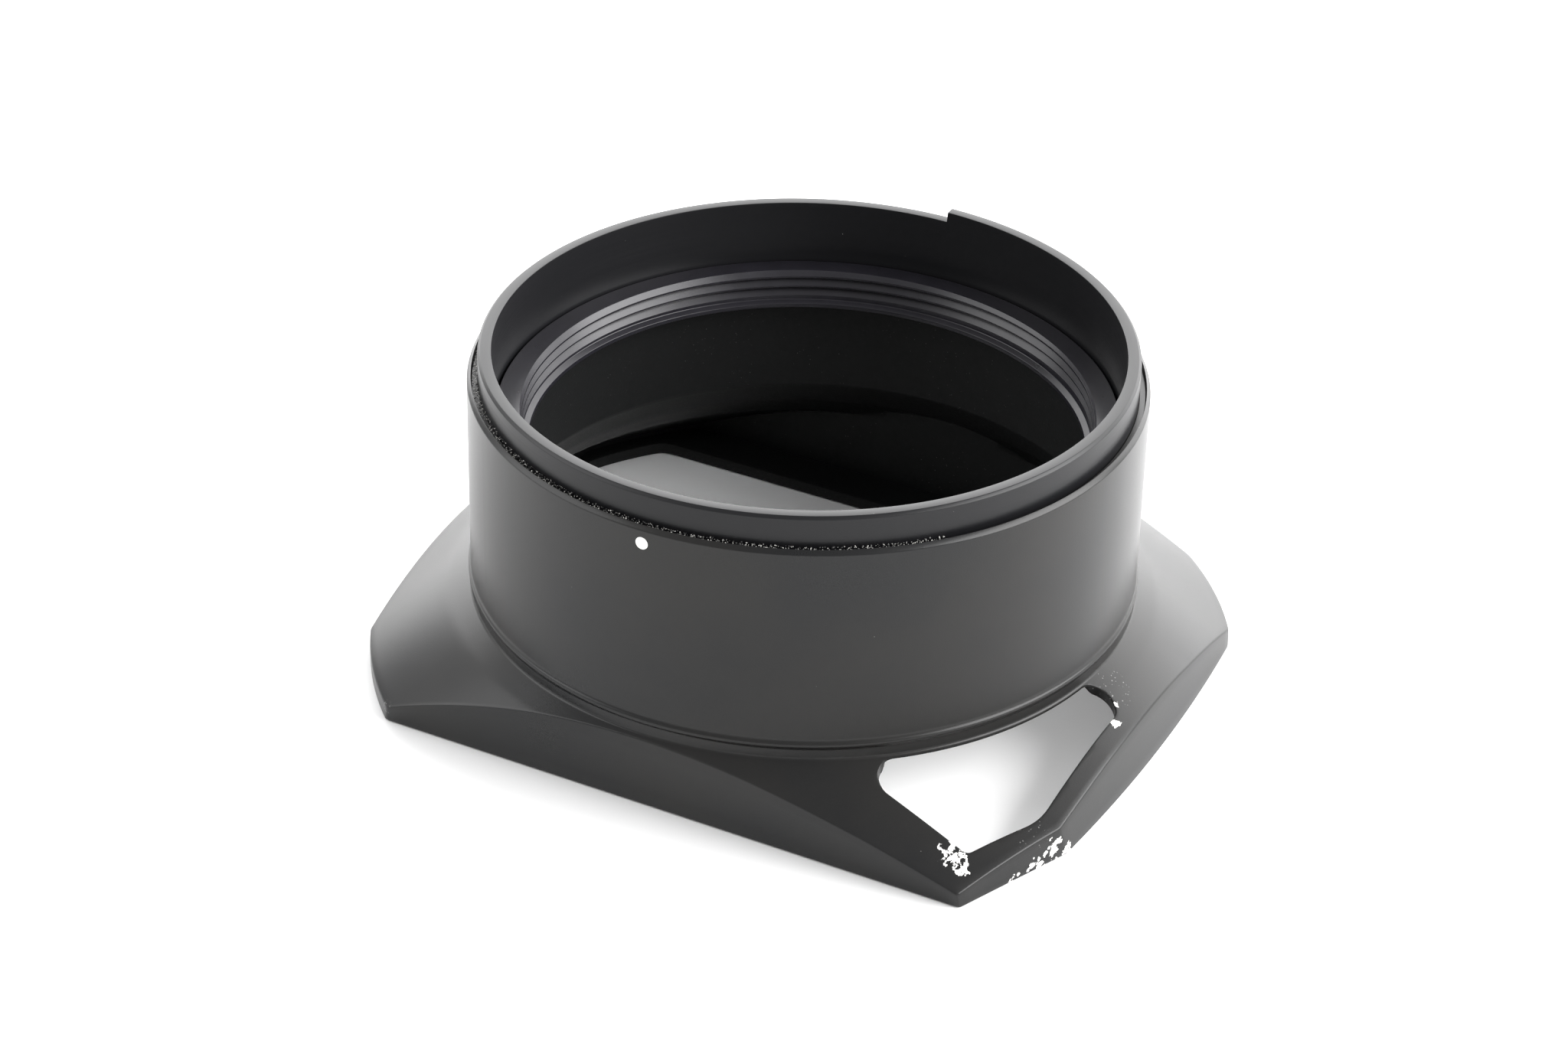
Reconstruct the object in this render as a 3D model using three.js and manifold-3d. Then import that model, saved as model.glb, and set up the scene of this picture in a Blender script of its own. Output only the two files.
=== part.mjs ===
// A screw-on lens hood for a fast wide-angle lens, standing on its rectangular mouth.
// Millimetres, +Z up. The origin is on the optical axis, in the plane of the front mouth.
// +Z points back towards the lens, X runs along the long sides of the mouth, and the corner
// with the viewfinder window is at +X -Y.
import * as THREE from 'three';
import { mergeVertices } from 'three/addons/utils/BufferGeometryUtils.js';
import Module from 'manifold-3d';

const wasm = await Module();
wasm.setup();

// ---- driving dimensions ---------------------------------------------------------------------

// tube
const tubeRadius = 31.0;            // outside of the tube
const tubeTop = 29.84;              // height of the tube's end face above the mouth
const tubeEdgeChamfer = 0.38;       // chamfer on the tube's outer top edge
const tubeWall = 2.6;               // wall below the mount
const throatWall = 1.0;             // wall at the lower end of the throat cone
const throatFootHeight = 9.3;       // lower end of the throat cone
const throatRise = 2.9;             // height of the throat cone
const beadReach = 0.37;             // bead round the tube's foot, outwards from the tube
const beadTop = 10.05;              // height of the bead's upper edge
const beadSlope = 0.25;             // how far the bead's top climbs to the tube

// skirt
const skirtRootReach = 0.6;         // a point of the skirt's cone beside the tube
const skirtRootHeight = 8.15;
const skirtSlope = 0.575;           // fall of the cone, per unit outwards
const rollWidth = 1.2;              // chamfer from the cone down to the rim, at the corners
const rimHeight = 1.7;              // thickness of the rim at the corners
const skirtWall = 1.0;              // wall under the cone, measured upright
const cornerReach = 9.58;           // round corners, centred on the axis, outwards from the tube
const shortSideReach = 5.53;        // middle of a short side, at the mouth, outwards from the tube
const shortSideRadius = 200;        // the short sides bow outwards
const shortSideLean = 0.1;          // inwards, per unit of height
const longSideInset = 1.09;         // long sides, at the mouth, inwards from the tube
const longSideLean = 0.2;           // outwards, per unit of height
const facetCut = 0.63;              // straight edge across the window corner, in from the round
const facetAzimuth = -22.6;         // degrees, direction in which that edge faces
const sideWall = 1.2;               // upright walls of the skirt

// front mask
const maskThickness = 1.2;
const maskSideWidth = 3.0;          // from the short sides in to the opening
const maskDepthWidth = 5.3;         // from the long sides in to the opening
const maskCornerWidth = 3.0;        // from the round corners in to the opening

// viewfinder window
const windowTubeGap = 0.2;          // between the tube and the window's curved edge
const windowSideBar = 2.38;         // metal left along the short side
const windowDepthBar = 3.46;        // metal left along the long side
const windowFacetBar = 0.98;        // metal left along the corner's straight edge
const windowFacetAzimuth = -29;    // degrees
const windowCornerRadius = 1.7;     // at the two ends of the curved edge
const windowTaper = 0.6;            // by which the short side's edge closes in at the corner
const pocketHeight = 8.95;          // relief under the curved edge, its ceiling
const pocketWidth = 0.75;
const pocketFrom = -46;             // degrees
const pocketTo = -14;

// mount collar
const collarSeatWall = 0.7;         // tube wall left round the collar
const collarWall = 1.26;
const collarStand = 2.12;           // low end of the helical stop face, above the tube's end
const collarSeatDepth = 8.34;       // from the tube's end down to the shoulder it sits on
const collarFlange = 0.5;           // thickness of its inner flange
const collarFlangeWidth = 0.74;     // from the collar's bore inwards
const threadPitch = 1.02;           // also the rise of the stop face in one turn
const collarBevel = 0.24;
const stopAzimuth = 90;             // degrees, where the stop face steps

// thread ring
const ringDrop = 3.94;              // from the tube's end down to the ring's top
const ringLand = 2.34;              // width of its top face
const threadDepth = 0.55;
const threadTurns = 2.6;
const ringLipWidth = 0.57;          // from the thread's crests inwards
const ringLipThickness = 0.35;

// glue groove round the collar
const grooveWidth = 0.62;
const grooveDepth = 0.6;

// index dot
const dotDiameter = 1.3;
const dotDrop = 1.69;               // from the tube's end down to the dot's middle
const dotDepth = 0.3;
const dotAzimuth = -90;

// clearances
const fitGap = 0.3;                 // between pieces that are bonded or seated together
const paintGap = 0.1;               // round the paint fill

// dependent sizes
const tubeBore = tubeRadius - tubeWall;
const throatFootRadius = tubeRadius - throatWall;
const boreFoot = throatFootHeight + throatRise;
const skirtRootRadius = tubeRadius + skirtRootReach;
const beadRadius = tubeRadius + beadReach;
const cornerRadius = tubeRadius + cornerReach;
const skirtEdgeRadius = cornerRadius - rollWidth;
const mouthHalfWidth = tubeRadius + shortSideReach;
const mouthHalfDepth = tubeRadius - longSideInset;
const facetDistance = cornerRadius - facetCut;
const openingHalfWidth = mouthHalfWidth - maskSideWidth;
const openingHalfDepth = mouthHalfDepth - maskDepthWidth;
const openingCornerRadius = cornerRadius - maskCornerWidth;
const windowInnerRadius = tubeRadius + windowTubeGap;
const windowHalfWidth = mouthHalfWidth - windowSideBar;
const windowHalfDepth = mouthHalfDepth - windowDepthBar;
const windowFacetDistance = facetDistance - windowFacetBar;
const collarRadius = tubeRadius - collarSeatWall - fitGap;
const collarBore = collarRadius - collarWall;
const collarFlangeBore = collarBore - collarFlangeWidth;
const collarFoot = tubeTop - collarSeatDepth;
const stopHeight = tubeTop + collarStand;
const ringTop = tubeTop - ringDrop;
const ringRadius = collarBore - fitGap;
const threadMinorRadius = ringRadius - ringLand;
const ringLipRadius = threadMinorRadius - ringLipWidth;
const grooveRadius = collarRadius + grooveWidth;
const dotHeight = tubeTop - dotDrop;

// resolution
const turnSteps = 96;               // facets in a full turn
const cornerSteps = 10;
const sideSteps = 8;
const threadSteps = 40;             // facets in one turn of the thread

// ---- colours --------------------------------------------------------------------------------

const blackEnamel = new THREE.MeshStandardMaterial({ color: 0x2b2b2c, roughness: 0.42, metalness: 0.3 });
const blackAnodised = new THREE.MeshStandardMaterial({ color: 0x1d1d20, roughness: 0.5, metalness: 0.5 });
const ringAnodised = new THREE.MeshStandardMaterial({ color: 0x2a2930, roughness: 0.35, metalness: 0.6 });
const whitePaint = new THREE.MeshStandardMaterial({ color: 0xe8e8e6, roughness: 0.5, metalness: 0 });

// ---- helpers --------------------------------------------------------------------------------

const radians = THREE.MathUtils.degToRad;

// closed geometry -> solid
function solid(geometry) {
  geometry.deleteAttribute('normal');
  geometry.deleteAttribute('uv');
  const merged = mergeVertices(geometry, 1e-5);
  return new wasm.Manifold(new wasm.Mesh({
    numProp: 3,
    vertProperties: new Float32Array(merged.attributes.position.array),
    triVerts: new Uint32Array(merged.index.array),
  }));
}

// solid -> geometry with flat faces
function toGeometry(body) {
  const mesh = body.getMesh();
  const geometry = new THREE.BufferGeometry();
  geometry.setAttribute('position', new THREE.BufferAttribute(new Float32Array(mesh.vertProperties), 3));
  geometry.setIndex(new THREE.BufferAttribute(new Uint32Array(mesh.triVerts), 1));
  geometry.computeVertexNormals();
  return geometry;
}

// a profile of [radius, height] pairs, listed anticlockwise, turned round the Z axis
function turned(profile) {
  const points = profile.map(([radius, height]) => new THREE.Vector2(radius, height));
  points.push(points[0].clone());
  const geometry = new THREE.LatheGeometry(points, turnSteps);
  geometry.rotateX(Math.PI / 2);
  return solid(geometry);
}

// a solid skinned over rings of points, one ring above the next, each listed anticlockwise
function skinned(rings) {
  const size = rings[0].length;
  const positions = rings.flat().flatMap((p) => [p.x, p.y, p.z]);
  const index = [];
  for (let ring = 0; ring + 1 < rings.length; ring++) {
    for (let i = 0; i < size; i++) {
      const a = ring * size + i;
      const b = ring * size + (i + 1) % size;
      index.push(a, b, b + size);
      index.push(a, b + size, a + size);
    }
  }
  return { size, positions, index, last: (rings.length - 1) * size };
}

// flat caps for a skinned solid, from the triangles of its outline
function capped(skin, triangles) {
  for (const [a, b, c] of triangles) {
    skin.index.push(c, b, a);
    skin.index.push(skin.last + a, skin.last + b, skin.last + c);
  }
  const geometry = new THREE.BufferGeometry();
  geometry.setAttribute('position', new THREE.BufferAttribute(new Float32Array(skin.positions), 3));
  geometry.setIndex(skin.index);
  return solid(geometry);
}

// an upright prism whose plan may change with height
function prism(outlineAt, low, high) {
  const bottom = outlineAt(low);
  const top = outlineAt(high);
  const rings = [
    bottom.map((p) => new THREE.Vector3(p.x, p.y, low)),
    top.map((p) => new THREE.Vector3(p.x, p.y, high)),
  ];
  return capped(skinned(rings), THREE.ShapeUtils.triangulateShape(bottom, []));
}

// a bar of four-sided section swept anticlockwise round the Z axis; section(t) gives its
// [radius, height] pairs, listed anticlockwise, at the share t of the way
function sweptRound(section, startAngle, endAngle, steps) {
  const rings = [];
  for (let i = 0; i <= steps; i++) {
    const t = i / steps;
    const angle = startAngle + (endAngle - startAngle) * t;
    rings.push(section(t).reverse().map(([radius, height]) =>
      new THREE.Vector3(radius * Math.cos(angle), radius * Math.sin(angle), height)));
  }
  return capped(skinned(rings), [[0, 1, 2], [0, 2, 3]]);
}

// points of the circle round the axis between two angles, ends included
function arcPoints(radius, from, to, steps) {
  const points = [];
  for (let i = 0; i <= steps; i++) {
    const angle = from + (to - from) * i / steps;
    points.push(new THREE.Vector2(radius * Math.cos(angle), radius * Math.sin(angle)));
  }
  return points;
}

// ---- plan of the skirt ----------------------------------------------------------------------

// x of a short side at a given y, for a side whose middle is at halfWidth
function shortSideX(halfWidth, y) {
  return halfWidth - shortSideRadius + Math.sqrt(shortSideRadius ** 2 - y ** 2);
}

// y at which a short side meets the round corner
function cornerMeetsShortSide(halfWidth, radius) {
  const centre = shortSideRadius - halfWidth;
  const x = (radius ** 2 + centre ** 2 - shortSideRadius ** 2) / (-2 * centre);
  return Math.sqrt(radius ** 2 - x ** 2);
}

// y at which a short side meets the straight edge across the window corner
function facetMeetsShortSide(halfWidth, distance) {
  let y = -halfWidth / 2;
  for (let pass = 0; pass < 20; pass++) {
    y = (distance - Math.cos(radians(facetAzimuth)) * shortSideX(halfWidth, y)) / Math.sin(radians(facetAzimuth));
  }
  return y;
}

// the skirt's outline at a height, drawn in by inset, anticlockwise from the window corner
function skirtOutline(height, inset) {
  const halfWidth = mouthHalfWidth - shortSideLean * height - inset;
  const halfDepth = mouthHalfDepth + longSideLean * height - inset;
  const radius = cornerRadius - inset;
  const distance = facetDistance - inset;
  const facetLow = facetMeetsShortSide(halfWidth, distance);
  const facetX = (distance + Math.sin(radians(facetAzimuth)) * halfDepth) / Math.cos(radians(facetAzimuth));
  const cornerY = cornerMeetsShortSide(halfWidth, radius);
  const cornerAngle = Math.asin(cornerY / radius);
  const depthAngle = Math.asin(halfDepth / radius);
  const outline = [new THREE.Vector2(facetX, -halfDepth)];
  for (let i = 0; i < sideSteps; i++) {
    const y = facetLow + (cornerY - facetLow) * i / sideSteps;
    outline.push(new THREE.Vector2(shortSideX(halfWidth, y), y));
  }
  outline.push(...arcPoints(radius, cornerAngle, depthAngle, cornerSteps));
  outline.push(...arcPoints(radius, Math.PI - depthAngle, Math.PI - cornerAngle, cornerSteps));
  for (let i = 1; i < sideSteps; i++) {
    const y = cornerY - 2 * cornerY * i / sideSteps;
    outline.push(new THREE.Vector2(-shortSideX(halfWidth, y), y));
  }
  outline.push(...arcPoints(radius, Math.PI + cornerAngle, Math.PI + depthAngle, cornerSteps));
  return outline;
}

// the rectangular opening in the front mask, with round corners centred on the axis
function openingOutline() {
  const low = Math.acos(openingHalfWidth / openingCornerRadius);
  const high = Math.asin(openingHalfDepth / openingCornerRadius);
  return [
    ...arcPoints(openingCornerRadius, low, high, cornerSteps),
    ...arcPoints(openingCornerRadius, Math.PI - high, Math.PI - low, cornerSteps),
    ...arcPoints(openingCornerRadius, Math.PI + low, Math.PI + high, cornerSteps),
    ...arcPoints(openingCornerRadius, -high, -low, cornerSteps),
  ];
}

// the viewfinder window, anticlockwise, its corners beside the tube rounded
function windowOutline() {
  const reach = windowInnerRadius + windowCornerRadius;
  const sideX = windowHalfWidth - windowCornerRadius;
  const sideAngle = -Math.acos(sideX / reach);
  const depthY = windowHalfDepth - windowCornerRadius;
  const depthAngle = -Math.asin(depthY / reach);
  const nearSide = new THREE.Vector2(sideX, reach * Math.sin(sideAngle));
  const nearDepth = new THREE.Vector2(reach * Math.cos(depthAngle), -depthY);
  const facet = new THREE.Vector2(Math.cos(radians(windowFacetAzimuth)), Math.sin(radians(windowFacetAzimuth)));
  const facetSideX = windowHalfWidth - windowTaper;
  const facetSideY = (windowFacetDistance - facet.x * facetSideX) / facet.y;
  const facetDepthX = (windowFacetDistance + facet.y * windowHalfDepth) / facet.x;
  const round = (centre, from, to) =>
    arcPoints(windowCornerRadius, from, to, cornerSteps).map((p) => p.add(centre));
  return [
    new THREE.Vector2(facetSideX, facetSideY),
    ...round(nearSide, 0, Math.PI + sideAngle),
    ...arcPoints(windowInnerRadius, sideAngle, depthAngle, 2 * cornerSteps).slice(1, -1),
    ...round(nearDepth, Math.PI + depthAngle, 1.5 * Math.PI),
    new THREE.Vector2(facetDepthX, -windowHalfDepth),
  ];
}

// ---- hood body: tube, skirt and front mask in one piece --------------------------------------

// the skirt's height at a radius, on its straight cone
function cone(r) {
  return skirtRootHeight - skirtSlope * (r - skirtRootRadius);
}

function makeHoodBody() {
  const beyond = 50;
  const outside = turned([
    [1, 0],
    [beyond, 0],
    [beyond, rimHeight],
    [cornerRadius, rimHeight],
    [skirtEdgeRadius, cone(skirtEdgeRadius)],
    [beadRadius, cone(beadRadius)],
    [beadRadius, beadTop],
    [tubeRadius, beadTop + beadSlope],
    [tubeRadius, tubeTop - tubeEdgeChamfer],
    [tubeRadius - tubeEdgeChamfer, tubeTop],
    [1, tubeTop],
  ]);
  const plan = prism((height) => skirtOutline(height, 0), -1, beadTop);
  const tubeEnvelope = turned([
    [1, 0],
    [beadRadius + 0.5, 0],
    [beadRadius + 0.5, tubeTop + 1],
    [1, tubeTop + 1],
  ]);
  const aboveSkirt = turned([
    [1, beadTop],
    [beyond, beadTop],
    [beyond, tubeTop + 1],
    [1, tubeTop + 1],
  ]);
  const cavity = turned([
    [0.5, maskThickness],
    [cornerRadius, maskThickness],
    [skirtEdgeRadius, cone(skirtEdgeRadius) - skirtWall],
    [skirtRootRadius, cone(skirtRootRadius) - skirtWall],
    [throatFootRadius, throatFootHeight],
    [0.5, throatFootHeight],
  ]);
  const cavityPlan = prism((height) => skirtOutline(height, sideWall), 0, throatFootHeight + 1);
  const bore = turned([
    [0.5, throatFootHeight - 1],
    [tubeBore, throatFootHeight - 1],
    [throatFootRadius - 0.05, throatFootHeight - 0.05],
    [tubeBore, boreFoot],
    [tubeBore, collarFoot - fitGap],
    [collarRadius + fitGap, collarFoot - fitGap],
    [collarRadius + fitGap, tubeTop - grooveDepth],
    [grooveRadius, tubeTop - grooveDepth],
    [grooveRadius, tubeTop + 1],
    [0.5, tubeTop + 1],
  ]);
  const opening = prism(openingOutline, -1, maskThickness + 1);
  const window = prism(windowOutline, maskThickness, beadTop + beadSlope + 1);
  const pocket = sweptRound(() => [
    [windowInnerRadius - pocketWidth, maskThickness + 1],
    [windowInnerRadius + 0.2, maskThickness + 1],
    [windowInnerRadius + 0.2, pocketHeight],
    [windowInnerRadius - pocketWidth, pocketHeight],
  ], radians(pocketFrom), radians(pocketTo), cornerSteps);
  const core = turned([[0, -1], [2, -1], [2, tubeTop + 1], [0, tubeTop + 1]]);
  const dotHole = dotCylinder(dotDiameter / 2 + paintGap, dotDepth + paintGap, 1);
  const shaped = outside.intersect(plan.add(aboveSkirt)).subtract(core);
  return shaped
    .subtract(cavity.intersect(cavityPlan))
    .subtract(bore)
    .subtract(opening)
    .subtract(window)
    .subtract(pocket)
    .subtract(dotHole)
    .intersect(plan.add(tubeEnvelope));
}

// ---- mount collar: plain spigot with the helical stop face ------------------------------------

function makeMountCollar() {
  const top = stopHeight + threadPitch;
  const blank = turned([
    [collarFlangeBore, collarFoot],
    [collarRadius, collarFoot],
    [collarRadius, top],
    [collarBore, top],
    [collarBore, collarFoot + collarFlange],
    [collarFlangeBore, collarFoot + collarFlange],
  ]);
  // half a turn of a cut that follows the stop face
  const cut = (from, section) => sweptRound(
    (t) => section(stopHeight + threadPitch * (from + t / 2)),
    radians(stopAzimuth) + from * 2 * Math.PI,
    radians(stopAzimuth) + (from + 0.5) * 2 * Math.PI,
    turnSteps / 2,
  );
  const flat = (height) => [
    [collarBore - 1, height],
    [collarRadius + 1, height],
    [collarRadius + 1, top + 1],
    [collarBore - 1, top + 1],
  ];
  const bevel = (height) => [
    [collarRadius - collarBevel, height],
    [collarRadius + 1, height - collarBevel - 1],
    [collarRadius + 1, height + 1],
    [collarRadius - collarBevel, height + 1],
  ];
  return blank
    .subtract(cut(0, flat))
    .subtract(cut(0.5, flat))
    .subtract(cut(0, bevel))
    .subtract(cut(0.5, bevel));
}

// ---- thread ring: bonded inside the collar, takes the lens's outer thread ----------------------

function makeThreadRing() {
  const foot = collarFoot + collarFlange + fitGap;
  const lipTop = foot + ringLipThickness;
  const blank = turned([
    [ringLipRadius, foot],
    [ringRadius, foot],
    [ringRadius, ringTop],
    [threadMinorRadius, ringTop],
    [threadMinorRadius, lipTop],
    [ringLipRadius, lipTop],
  ]);
  const mouth = 0.85 * threadPitch;
  const root = 0.2 * threadPitch;
  const start = lipTop + mouth / 2 + 0.1;
  const turns = threadTurns;
  const groove = sweptRound((t) => {
    const middle = start + t * turns * threadPitch;
    return [
      [threadMinorRadius - 0.3, middle - mouth / 2 - 0.2],
      [threadMinorRadius + threadDepth, middle - root / 2],
      [threadMinorRadius + threadDepth, middle + root / 2],
      [threadMinorRadius - 0.3, middle + mouth / 2 + 0.2],
    ];
  }, radians(stopAzimuth), radians(stopAzimuth) + turns * 2 * Math.PI, Math.round(turns * threadSteps));
  return blank.subtract(groove);
}

// ---- index dot -------------------------------------------------------------------------------

// a short cylinder across the tube's wall at the dot, from depth below the surface outwards
function dotCylinder(radius, depth, outwards) {
  const geometry = new THREE.CylinderGeometry(radius, radius, depth + outwards, 24);
  geometry.rotateZ(Math.PI / 2);
  geometry.translate(tubeRadius + (outwards - depth) / 2, 0, dotHeight);
  geometry.rotateZ(radians(dotAzimuth));
  return solid(geometry);
}

function makeIndexDot() {
  return dotCylinder(dotDiameter / 2, dotDepth, 0);
}

// ---- assembly --------------------------------------------------------------------------------

const hood = new THREE.Group();

function place(name, body, material) {
  const mesh = new THREE.Mesh(toGeometry(body), material);
  mesh.name = name;
  hood.add(mesh);
}

place('hood_body', makeHoodBody(), blackEnamel);
place('mount_collar', makeMountCollar(), blackAnodised);
place('thread_ring', makeThreadRing(), ringAnodised);
place('index_dot', makeIndexDot(), whitePaint);

export default hood;
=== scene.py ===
# %% [markdown]
# # A screw-on lens hood
#
# This lesson dresses the solid model of a small metal lens hood. The hood stands on its
# rectangular mouth. A round tube rises from a low conical skirt, and one corner of the skirt has
# a window for the viewfinder. Every length here is in millimetres until a mesh is made.

# %% Load the frame
import math

import bmesh
import bpy
import numpy as np
from mathutils import Matrix, Vector


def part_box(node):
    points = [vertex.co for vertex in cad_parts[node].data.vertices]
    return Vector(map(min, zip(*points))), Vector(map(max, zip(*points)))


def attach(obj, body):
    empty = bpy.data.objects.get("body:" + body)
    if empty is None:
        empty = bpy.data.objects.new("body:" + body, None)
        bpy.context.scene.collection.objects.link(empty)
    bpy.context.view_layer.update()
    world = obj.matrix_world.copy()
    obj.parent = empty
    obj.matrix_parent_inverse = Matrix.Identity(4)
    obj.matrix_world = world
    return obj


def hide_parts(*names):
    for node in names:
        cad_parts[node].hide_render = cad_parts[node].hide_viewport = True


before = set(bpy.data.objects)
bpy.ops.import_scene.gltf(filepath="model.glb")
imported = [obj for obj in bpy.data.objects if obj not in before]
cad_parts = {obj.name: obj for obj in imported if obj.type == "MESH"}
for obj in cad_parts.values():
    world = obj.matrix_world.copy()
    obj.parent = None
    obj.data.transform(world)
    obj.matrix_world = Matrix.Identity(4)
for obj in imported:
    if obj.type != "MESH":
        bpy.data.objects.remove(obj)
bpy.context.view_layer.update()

MM = 0.001
collar_low = np.array(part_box("mount_collar")[0]) / MM
ring_low, ring_high = [np.array(corner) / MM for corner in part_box("thread_ring")]

# %% [markdown]
# ## The camera
#
# A long lens held about a third of a right angle above the table flattens the perspective. A
# camera's axes are set as the columns of its matrix: right, up, and the way back from what it
# looks at.

# %% The camera
CAMERA_PLACE = (140.0, -281.4, 208.0)
CAMERA_AZIMUTH = 116.80
CAMERA_PITCH = 31.749
CAMERA_ROLL = 1.451
FOCAL_LENGTH = 91.34


def camera_matrix(place, azimuth, pitch, roll):
    """The matrix of a camera that looks along an azimuth, pitched down, and rolled."""
    azimuth, pitch, roll = (math.radians(angle) for angle in (azimuth, pitch, roll))
    ahead = Vector((math.cos(azimuth) * math.cos(pitch), math.sin(azimuth) * math.cos(pitch),
                    -math.sin(pitch)))
    right = Vector((math.sin(azimuth), -math.cos(azimuth), 0))
    up = right.cross(ahead)
    rolled_right = right * math.cos(roll) + up * math.sin(roll)
    rolled_up = up * math.cos(roll) - right * math.sin(roll)
    columns = Matrix((rolled_right, rolled_up, -ahead)).transposed().to_4x4()
    columns.translation = Vector(place) * MM
    return columns


lens = bpy.data.cameras.new("studio_camera")
lens.lens = FOCAL_LENGTH
lens.sensor_width = 36
lens.clip_start = 0.01
camera = bpy.data.objects.new("studio_camera", lens)
bpy.context.scene.collection.objects.link(camera)
camera.matrix_world = camera_matrix(CAMERA_PLACE, CAMERA_AZIMUTH, CAMERA_PITCH, CAMERA_ROLL)
bpy.context.scene.camera = camera

# %% [markdown]
# ## The sizes of the body
#
# The tube, the conical skirt and the front mask were turned and milled from one piece of metal.
# The same few sizes drive the outside, the hollow inside and the window.

# %% Sizes of the body
TUBE = 31.0                 # radii of the tube and of what is cut into it
TUBE_TOP = 29.8
TUBE_CHAMFER = 0.4
BORE = 28.4
BORE_FOOT = 12.2
THROAT = 30.0               # the bore opens to this radius below its foot
THROAT_FOOT = 9.3
GROOVE = 30.62              # outer wall of the groove round the collar
GROOVE_FLOOR = 29.2
SEAT = 30.03                # the collar's seat
SEAT_FOOT = 21.3

BEAD = 31.22                # narrow bead round the tube's foot
BEAD_TOP = 10.1
BEAD_HEIGHT = 0.3
GROOVE_UNDER_BEAD = 31.02
TUBE_FOOT = 10.35
CONE_RADIUS = 31.6          # a point of the skirt's cone, and its fall
CONE_HEIGHT = 8.15
CONE_SLOPE = 0.575
ROLL_START = 33.0           # the three round corners roll down from here to the rim
ROLL_POWER = 1.2
ROLL_FROM = 20              # degrees away from the window's corner
ROLL_SPAN = 28
RIM_HEIGHT = 1.7
SKIRT_WALL = 1.0
SIDE_WALL = 1.2

CORNER = 40.58              # radius of the corners' arcs
HALF_WIDTH = 36.53
SHORT_SIDE_BOW = 200.0
SHORT_SIDE_LEAN = 0.1       # inwards, per unit of height
HALF_DEPTH = 29.91
LONG_SIDE_LEAN = 0.2        # outwards, per unit of height
FACET = 39.95               # distance of the window corner's flat facet
FACET_AZIMUTH = -22.6

MASK = 1.2                  # thickness of the front mask, and its opening
OPENING_WIDTH = 33.5
OPENING_DEPTH = 24.6
OPENING_CORNER = 37.6

WINDOW_AZIMUTH = -35        # direction of the window's corner
WINDOW_INNER = 31.2
WINDOW_WIDTH = 34.15
WINDOW_TAPER = 0.6
WINDOW_DEPTH = 26.2
WINDOW_FLARE = 0.4
WINDOW_FACET = 38.95
WINDOW_FACET_AZIMUTH = -29.0
WINDOW_POCKET = 8.95        # the relief beside the tube ends at this height
WINDOW_CORNER = 1.7

# %% [markdown]
# ## The skirt's outer profile
#
# A lathe would cut this profile with its tool: straight down the tube, round a narrow bead at
# its foot, and out along a cone. The profile is kept as a long table of radius and height, in
# order from the tube outwards, so that a point on it is found by how far along it lies. Only the
# three round corners roll over at the rim; the window's corner keeps the cone's straight slope.

# %% The skirt's outer profile


def cone(r):
    """Height of the skirt's straight cone at a radius."""
    return CONE_HEIGHT - CONE_SLOPE * (np.asarray(r, float) - CONE_RADIUS)


def eased_corners(points, sizes, steps=7):
    """A polyline whose inner corners are replaced by small curves of the given sizes."""
    points = [np.array(point, float) for point in points]
    result = [points[0]]
    for before, corner, after, size in zip(points, points[1:], points[2:], sizes):
        start = corner + (before - corner) / np.linalg.norm(before - corner) * size
        end = corner + (after - corner) / np.linalg.norm(after - corner) * size
        for t in np.linspace(0, 1, steps):
            result.append((1 - t) ** 2 * start + 2 * t * (1 - t) * corner + t ** 2 * end)
    result.append(points[-1])
    return np.array(result)


def table(points, step=0.05):
    """Radius, height and length along a profile, with points added between its own."""
    r, z = [points[0][0]], [points[0][1]]
    for a, b in zip(points, points[1:]):
        count = max(1, math.ceil(np.linalg.norm(b - a) / step))
        for k in range(1, count + 1):
            r.append(a[0] + (b[0] - a[0]) * k / count)
            z.append(a[1] + (b[1] - a[1]) * k / count)
    r, z = np.array(r), np.array(z)
    return r, z, np.concatenate([[0], np.cumsum(np.hypot(np.diff(r), np.diff(z)))])


OUT_R, OUT_Z, OUT_S = table(eased_corners([
    (TUBE, TUBE_FOOT + 0.5), (TUBE, TUBE_FOOT), (BEAD, BEAD_TOP), (BEAD, BEAD_TOP - BEAD_HEIGHT),
    (GROOVE_UNDER_BEAD, BEAD_TOP - BEAD_HEIGHT - 0.26),
    (GROOVE_UNDER_BEAD, cone(GROOVE_UNDER_BEAD)), (45, cone(45))], (0.25, 0.13, 0.12, 0.1, 0.16)))
ON_CONE = OUT_R > BEAD + 0.02
FOOT = OUT_Z[0]


def roll(r, azimuth):
    """How far the rim drops below the cone, which is nothing near the window's corner."""
    outwards = np.clip((r - ROLL_START) / (CORNER - ROLL_START), 0, 1)
    drop = (cone(CORNER) - RIM_HEIGHT) * outwards ** ROLL_POWER
    away = np.abs(azimuth - math.radians(WINDOW_AZIMUTH))
    away = np.minimum(away, 2 * math.pi - away)
    return drop * np.clip((away - math.radians(ROLL_FROM)) / math.radians(ROLL_SPAN), 0, 1)


# the hollow's ceiling: the throat cone, then the skirt's cone less its wall
IN_R, IN_Z, IN_S = table(np.array([
    (BORE, BORE_FOOT), (THROAT, THROAT_FOOT),
    (31.7, cone(31.7) - SKIRT_WALL), (44, cone(44) - SKIRT_WALL)]))
print("outer profile points:", len(OUT_R))

# %% [markdown]
# ## The skirt's outline
#
# Seen from above, the skirt is a rectangle whose corners are arcs of one circle round the tube,
# except for the window's corner, which a straight facet cuts off. The long sides lean outwards
# and the short sides bow. Columns of points are placed by their direction from the axis, with
# one column exactly on each corner, and two close beside it for a small rounding.

# %% The skirt's outline


def towards(degrees):
    """The unit vector of a direction seen from above."""
    return np.array([math.cos(math.radians(degrees)), math.sin(math.radians(degrees))])


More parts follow.
